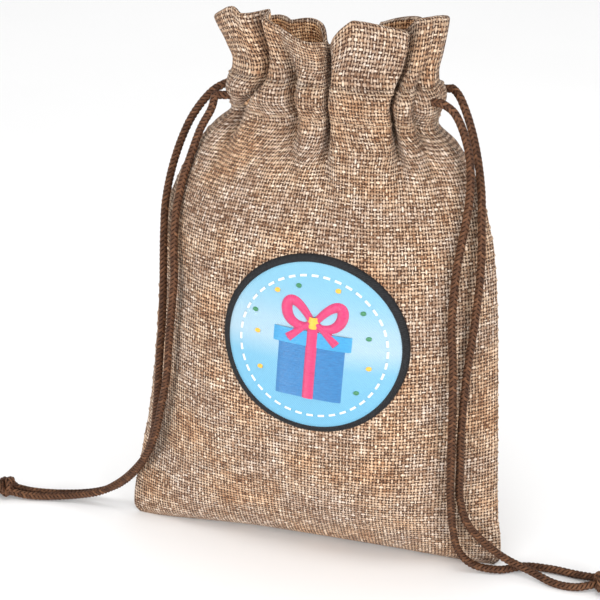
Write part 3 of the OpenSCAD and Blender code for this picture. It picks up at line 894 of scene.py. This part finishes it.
def add_body(material):
    """The pouch up to its casing; also gives its rows and how far up the cloth each lies."""
    rows, threads = body_points()
    up = fabric_heights(rows)
    body = cloth_mesh("pouch_cloth", rows, threads, up, material)
    close_bottom(body)
    thicken(body, CLOTH_THICKNESS)
    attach(body, "pouch")
    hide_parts("front_panel", "back_panel", "bottom_fold", "left_side_seam", "right_side_seam",
                "front_casing", "back_casing")
    return body, rows, up


def close_bottom(body):
    """Fills the narrow strip between the front and the back of the bottom fold."""
    mesh = bmesh.new()
    mesh.from_mesh(body.data)
    mesh.verts.ensure_lookup_table()
    layer = mesh.loops.layers.uv["fabric"]
    half = COLUMNS // 2
    for j in range(half):
        ring = dict.fromkeys([j + 1, j, (COLUMNS - j) % COLUMNS, COLUMNS - j - 1])
        face = mesh.faces.new([mesh.verts[i] for i in ring])
        face.smooth = True
        for loop in face.loops:
            i = loop.vert.index
            u = min(i, COLUMNS - i) * 2 * FABRIC_HALF / COLUMNS
            loop[layer].uv = (u, 0 if i <= half else -2.4)
    mesh.to_mesh(body.data)
    mesh.free()


# ---- frill ----

# Rim of the frill round the mouth. Its marks are the left seam, five creases, the right seam, five
# creases and the left seam again. Rows: a mark, the share of the way to the next mark, height and
# lean outwards.
RIM = (
    (0, 0, 173, 0), (0, 0.25, 175.4, 0.4), (0, 0.52, 178.2, 0.6), (0, 0.57, 177.8, 0.8),
    (0, 0.62, 176.6, 0.8), (1, 0, 177.2, 0.4), (1, 0.15, 177.2, 0.6), (1, 0.45, 176.6, 1.6),
    (2, 0, 174.8, 3), (2, 0.55, 171.8, 5), (2, 0.85, 170.6, 4.8),
    (3, 0, 168.6, 1.5), (3, 0.12, 169.6, 1.2), (3, 0.2, 172.6, 0.9), (3, 0.28, 175.8, 0.8),
    (3, 0.38, 178.2, 1), (3, 0.7, 176.8, 1.8), (3, 0.92, 173.8, 1),
    (4, 0, 173.4, 0), (4, 0.5, 177.8, 0.2), (5, 0, 179, 0.4), (5, 0.5, 178.6, 0.4),
    (6, 0, 178.2, 0), (6, 0.5, 176.8, 0.8), (7, 0, 175.6, 1), (7, 0.45, 174.2, 1.6),
    (8, 0, 173.2, 0.6), (8, 0.25, 170.6, 1), (8, 0.6, 167, 0.6),
    (9, 0, 163.4, -2), (9, 0.25, 165.2, 0), (9, 0.5, 169.4, 1.4), (9, 0.75, 170.6, 2.2),
    (10, 0, 171, 1.2), (10, 0.5, 171, 1.6), (11, 0, 170.6, 0.6), (11, 0.5, 170.8, 0.2), (11, 1, 173, 0),
)
FRILL_ROWS = 17
FRILL_HEIGHT = 19.0
HEM_RADIUS = 0.8
INNER_ROWS = 15
PAINTED_LIGHT_FROM = FRILL_ROWS + 4   # rows from here on belong to the inside of the mouth and take the brightened copy of the jute, painted light
INNER_DEPTH = 10.0         # how far the turned-in hem reaches below the top of the casing


def rim_shape(fabric):
    """Height of the rim and its lean outwards, at each fabric coordinate."""
    marks = np.sort([0.0, 0.5, 1.0, *MARKS])
    mark, share, height, lean = np.array(RIM).T
    mark = mark.astype(int)
    places = marks[mark] + (marks[mark + 1] - marks[mark]) * share
    return soft_table(fabric, places, height), soft_table(fabric, places, lean)


def frill_points():
    """Rows of the frill: up its outside, over the rim and down its inside, to inside the casing."""
    fabric = np.linspace(0, 1, COLUMNS + 1)
    rim, lean = rim_shape(fabric)
    outward = np.where(fabric < 0.5, -1.0, 1.0)
    calm = np.abs(np.sin(TAU * fabric)) ** 0.5

    def row(g, inset, widen, rise=0.0):
        xs, ys, thread = cloth_row(CASING_TOP + FRILL_HEIGHT * g, inset, widen)
        zs = CASING_TOP + (rim - CASING_TOP) * g + rise
        ys = ys + outward * lean * max(g, 0) ** 1.6
        wave = 0.18 * np.sin(0.8 * xs + 0.6 * zs) * np.sin(0.5 * zs - 0.4 * xs) * calm * smoothstep(g, 0, 0.3)
        return np.stack([xs, ys + outward * wave, zs, thread], axis=1)

    outer = [row(g, 0.0, 0.0) for g in np.linspace(0, 1, FRILL_ROWS)]
    hem = [row(1.0, HEM_RADIUS * (1 - math.cos(a)), 0.7 * (1 - math.cos(a)), HEM_RADIUS * math.sin(a))
           for a in np.linspace(0, math.pi, 6)[1:-1]]
    inner = [row(g, 2 * HEM_RADIUS, 1.4) for g in np.linspace(1, 0, INNER_ROWS)]
    lowest = inner[-1]
    for drop in (3.0, 6.5, INNER_DEPTH):
        tail = lowest.copy()
        tail[:, 2] -= drop
        inner.append(tail)
    rows = np.array(outer + hem + inner)
    return rows[..., :3], rows[..., 3]


def add_frill(material, painted_light_inside, start):
    """The front and back halves of the frill, with a brightened copy of the jute, painted light, on their
    inside.
    """
    rows, threads = frill_points()
    up = fabric_heights(rows, start)
    frills = []
    half = COLUMNS // 2
    for face, first, last in (("front", 0, half), ("back", half, COLUMNS)):
        frill = cloth_mesh(face + "_frill_cloth", rows, threads, up, material, first, last, wrap=False)
        frill.data.materials.append(painted_light_inside)
        columns = last - first
        for polygon in frill.data.polygons:
            polygon.material_index = int(polygon.index >= columns * PAINTED_LIGHT_FROM)
        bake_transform(frill)
        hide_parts(face + "_frill", face + "_hem")
        frills.append(frill)
    return frills


# ---- stitches ----

STITCH_LENGTH = 3.1
STITCH_SPACING = 1.35           # from stitch to stitch, in stitch lengths
CASING_SEAMS = (148.0, 158.2)   # heights of the two rows round the casing
SIDE_STITCHES = np.arange(12, 142, 4.2)   # heights of the stitches of the side seams


def row_path(rows, i, columns, lift):
    """Points on the cloth of row i at fractional columns, lifted off it by the given distances."""

    def at(places):
        return np.stack([np.interp(places, np.arange(COLUMNS + 1), rows[i, :, k]) for k in range(3)], axis=1)

    path = at(columns)
    way = unit(at(np.asarray(columns) + 0.5) - path + 1e-9)
    outward = np.stack([way[:, 1], -way[:, 0], np.zeros(len(way))], axis=1)
    return path + outward * np.asarray(lift)[:, None]


def add_casing_stitches(rows, heights, material):
    """Running stitches along the top and the bottom of the casing, front and back."""
    columns_per_stitch = STITCH_LENGTH * COLUMNS / (2 * FABRIC_HALF)
    count = int((COLUMNS // 2 - 8) / (columns_per_stitch * STITCH_SPACING))
    lift = (-0.25, 0.12, 0.2, 0.22, 0.2, 0.12, -0.25)
    for face, first in (("front", 0), ("back", COLUMNS // 2)):
        parts = []
        for z in CASING_SEAMS:
            i = int(np.argmin(np.abs(heights - z)))
            for k in range(count):
                start = first + 4 + k * columns_per_stitch * STITCH_SPACING
                path = row_path(rows, i, np.linspace(start, start + columns_per_stitch, len(lift)), lift)
                parts.append(tube(path, 0.42, 0.34, (0, 0, 1), 6, 0))
        add_piece(face + "_casing_thread", parts, material, [face + "_casing_stitches"])


def add_seam_stitches(rows, heights, material):
    """Slanting stitches that close the two side seams."""
    lift = (-0.3, 0.02, 0.06, 0.08, 0.06, 0.02, -0.3)
    reach = np.array((-3.2, -2, -1, 0, 1, 2, 3.2))
    for side, columns in (("left", -reach % COLUMNS), ("right", COLUMNS / 2 + reach)):
        parts = []
        for z in SIDE_STITCHES:
            i = int(np.argmin(np.abs(heights - z)))
            path = np.vstack([row_path(rows, i, [c], [out]) for c, out in zip(columns, lift)])
            path[:, 2] += np.linspace(-0.7, 0.7, len(path))
            parts.append(tube(path, 0.36, 0.26, (0, 0, 1), 6, 0))
        add_piece(side + "_seam_thread", parts, material, [side + "_seam_stitches"])


# ---- patch ----

PATCH_AT = (8.0, 82.0)   # X and Z of its middle
PATCH_D = 57.4
PATCH_TILT = math.radians(-3.6)
BORDER_W = 2.7
BORDER_THREADS = 300
FACE_RADIUS = PATCH_D / 2 - BORDER_W * 0.55
GIFT_HEIGHTS = (-16.5, 0.5, 5.4)   # bottom of the box, bottom of its lid and top of its lid
BOW_POINTS = 46
DASH_RADIUS = 22.6
YELLOW_DOTS = ((-17.2, 2.0), (-12.0, 16.2), (17.6, -4.0), (6.4, 19.2), (-15.6, -9.5))
GREEN_DOTS = ((-18.4, 8.6), (16.8, 5.6), (14.4, 13.4), (-5.6, 18.8), (14.6, -12.4))
SATIN_THREADS = {   # light and dark of each colour
    "blue": ((0.020, 0.170, 0.400), (0.010, 0.100, 0.270)),
    "sky": ((0.035, 0.290, 0.540), (0.020, 0.200, 0.420)),
    "pink": ((0.560, 0.026, 0.135), (0.380, 0.012, 0.080)),
    "yellow": ((0.780, 0.430, 0.040), (0.640, 0.300, 0.020)),
    "green": ((0.030, 0.200, 0.080), (0.015, 0.130, 0.050)),
    "white": ((0.720, 0.740, 0.760), (0.560, 0.600, 0.640)),
}


def front_cloth(rows, heights):
    """Function of X and Z that gives Y of the body's front, between its two nearest rows."""
    front = rows[:, :COLUMNS // 2 + 1]

    def cloth(x, z):
        out = np.empty(x.shape)
        for where in np.ndindex(x.shape):
            i = int(np.clip(np.searchsorted(heights, z[where]) - 1, 0, len(heights) - 2))
            t = (z[where] - heights[i]) / (heights[i + 1] - heights[i])
            low, high = (np.interp(x[where], row[:, 0], row[:, 1]) for row in front[i:i + 2])
            out[where] = low + (high - low) * t
        return out

    return cloth


def patch_points(cloth, a, b, off):
    """Points at (a, b) of the patch's own plane, a distance off the cloth."""
    a, b, off = np.broadcast_arrays(np.asarray(a, float), np.asarray(b, float), np.asarray(off, float))
    x = PATCH_AT[0] + a * math.cos(PATCH_TILT) - b * math.sin(PATCH_TILT)
    z = PATCH_AT[1] + a * math.sin(PATCH_TILT) + b * math.cos(PATCH_TILT)
    return np.stack([x, cloth(x, z) - off, z], axis=-1)


def disc_part(cloth, radius, off, under):
    """Disc at the distance off over the cloth, with a short edge down to the distance under."""
    rings, segments = 16, 96
    turn = np.arange(segments) * TAU / segments
    radii = np.concatenate([np.linspace(0.02, 1, rings) * radius, [radius]])
    offs = np.concatenate([np.full(rings, off), [under]])
    flat = np.concatenate([np.stack([r * np.sin(turn), r * np.cos(turn)], axis=1) for r in radii])
    points = patch_points(cloth, flat[:, 0], flat[:, 1], np.repeat(offs, segments))
    faces = [tuple(f) for f in grid_faces(len(radii), segments, wrap=True, flip=True)[0]]
    faces.append(tuple(range(segments)))
    return points, faces, [tuple(flat[i]) for f in faces for i in f]


def border_part(cloth):
    """Overlocked rim: a low rounded ring with a ridge for each thread."""
    segments, sides = BORDER_THREADS * 3, 10
    turn = np.arange(segments) * TAU / segments
    middle = PATCH_D / 2 - BORDER_W / 2
    ridge = 0.07 * np.cos(BORDER_THREADS * turn)
    rows = []
    for k in range(sides):
        a = math.pi * k / (sides - 1)
        r = middle + (BORDER_W / 2 + ridge * 0.5) * math.cos(a)
        off = 0.08 + (1.05 + ridge) * math.sin(a) ** 0.8
        lean = 0.012 * math.cos(a)
        rows.append(patch_points(cloth, r * np.sin(turn + lean), r * np.cos(turn + lean), off))
    points = np.concatenate(rows)
    index, where = grid_faces(sides, segments, wrap=True)
    uv = np.stack([where[..., 1] * (BORDER_THREADS / segments), where[..., 0] * 0.4], axis=-1).reshape(-1, 2)
    return points, [tuple(f) for f in index], [tuple(c) for c in uv]


def satin_part(cloth, path, half_widths, rise, off=1.0, edge_power=2.0):
    """Band of satin stitches along a flat path: raised in the middle and rounded off at its edges."""
    path = np.asarray(path, float)
    half = np.broadcast_to(np.asarray(half_widths, float), len(path))
    way = unit(np.gradient(path, axis=0))
    across = np.stack([way[:, 1], -way[:, 0]], axis=1)
    t = np.sin(np.linspace(-math.pi / 2, math.pi / 2, 9))
    places = path[:, None] + across[:, None] * (half[:, None] * t[None])[..., None]
    height = off - 0.25 + (rise + 0.25) * (1 - np.abs(t) ** edge_power) ** 0.5
    points = patch_points(cloth, places[..., 0], places[..., 1], np.tile(height, (len(path), 1)))
    index, where = grid_faces(len(path), len(t), wrap=False)
    along = walked(path)
    uv = np.stack([(half[where[..., 0]] * t[where[..., 1]]), along[where[..., 0]]], axis=-1).reshape(-1, 2)
    return points.reshape(-1, 3), [tuple(f) for f in index], [tuple(c) for c in uv]


def bow_loop(side):
    """Leaf-shaped ribbon loop that starts and ends at the bow's knot."""
    t = np.linspace(0.06, math.pi - 0.06, BOW_POINTS)
    return np.stack([side * 8.6 * np.sin(t) ** 1.15, 7.4 + 4.4 * np.sin(t) - 3.3 * np.sin(2 * t)], axis=1)


def gift_parts(cloth):
    """A generic gift box and its bow in satin stitch, as lists of bands for each thread colour."""
    low, lid, top = GIFT_HEIGHTS
    swelling = np.sin(np.linspace(0, math.pi, BOW_POINTS))
    ribbon = [satin_part(cloth, np.linspace((0, low), (0, top + 1.6), 60), 1.9, 0.72, edge_power=4)]
    loops = [satin_part(cloth, bow_loop(side), 1.05 + 0.75 * swelling, 0.62) for side in (-1, 1)]
    ends = [satin_part(cloth, np.linspace((side * 1.0, 8.2), (side * 7.4, 2.4), 20),
                       np.linspace(0.8, 1.7, 20), 0.86) for side in (-1, 1)]
    knot_width = 1.55 + 0.4 * np.sin(np.linspace(0, math.pi, 16))
    return {
        "blue": [satin_part(cloth, np.linspace((0, low), (0, lid), 60), 10.6, 0.30, edge_power=10)],
        "sky": [satin_part(cloth, np.linspace((0, lid + 0.1), (0, top), 30), 12.4, 0.42, edge_power=10)],
        "pink": ribbon + loops + ends,
        "yellow": [satin_part(cloth, np.linspace((0, 6.6), (0, 10.2), 16), knot_width, 1.0)],
    }


def dot_part(cloth, x, z):
    width = 0.8 * np.sin(np.linspace(0.25, 2.9, 9)) ** 0.5
    return satin_part(cloth, np.linspace((x - 0.8, z), (x + 0.8, z), 9), width, 0.3)


def dash_part(cloth, start):
    """Dash of the white ring that starts at an angle in degrees."""
    turn = np.radians(np.linspace(start, start + 5.2, 10))
    return satin_part(cloth, DASH_RADIUS * np.stack([np.cos(turn), np.sin(turn)], axis=1), 0.42, 0.22)


def add_patch(cloth):
    """Felt backing, printed face, overlocked border and the stitched motif, from the cloth outwards."""
    backing = thread_material("patch_backing", (0.10, 0.10, 0.10), (0.05, 0.05, 0.05))
    border = thread_material("patch_border_thread", (0.015, 0.016, 0.018), (0.004, 0.004, 0.005), pitch=1.0,
                             roughness=0.7, sheen=0.0)
    add_piece("patch_backing_felt", [disc_part(cloth, FACE_RADIUS, 0.55, 0.1)], backing,
              ["patch_backing"])
    add_piece("patch_face_twill", [disc_part(cloth, FACE_RADIUS, 0.95, 0.6)], twill_material(),
              ["patch_face"])
    add_piece("patch_border_overlock", [border_part(cloth)], border, ["patch_border"])

    parts = gift_parts(cloth)
    parts["yellow"] += [dot_part(cloth, x, z) for x, z in YELLOW_DOTS]
    parts["green"] = [dot_part(cloth, x, z) for x, z in GREEN_DOTS]
    parts["white"] = [dash_part(cloth, start) for start in np.arange(0, 360, 9.0)]
    for key, pieces in parts.items():
        material = satin_material("satin_" + key, *SATIN_THREADS[key])
        add_piece("patch_motif_" + key, pieces, material, [])


def main():
    add_camera()
    add_studio()
    braided = cord_material()
    tails = add_tails(braided)
    add_runs(braided)
    add_knots(braided)

    burlap = burlap_material("jute_cloth")
    body, rows, up = add_body(burlap)
    heights = body_heights()
    # the inside of the mouth gets a brightened copy of the jute: painted light
    frills = add_frill(burlap, burlap_material("jute_inside", INSIDE_PAINTED_LIGHT), up[-1])
    thread = thread_material("seam_thread", (0.52, 0.38, 0.26), (0.28, 0.18, 0.11))
    add_casing_stitches(rows, heights, thread)
    add_seam_stitches(rows, heights, thread)
    add_patch(front_cloth(rows, heights))


main()
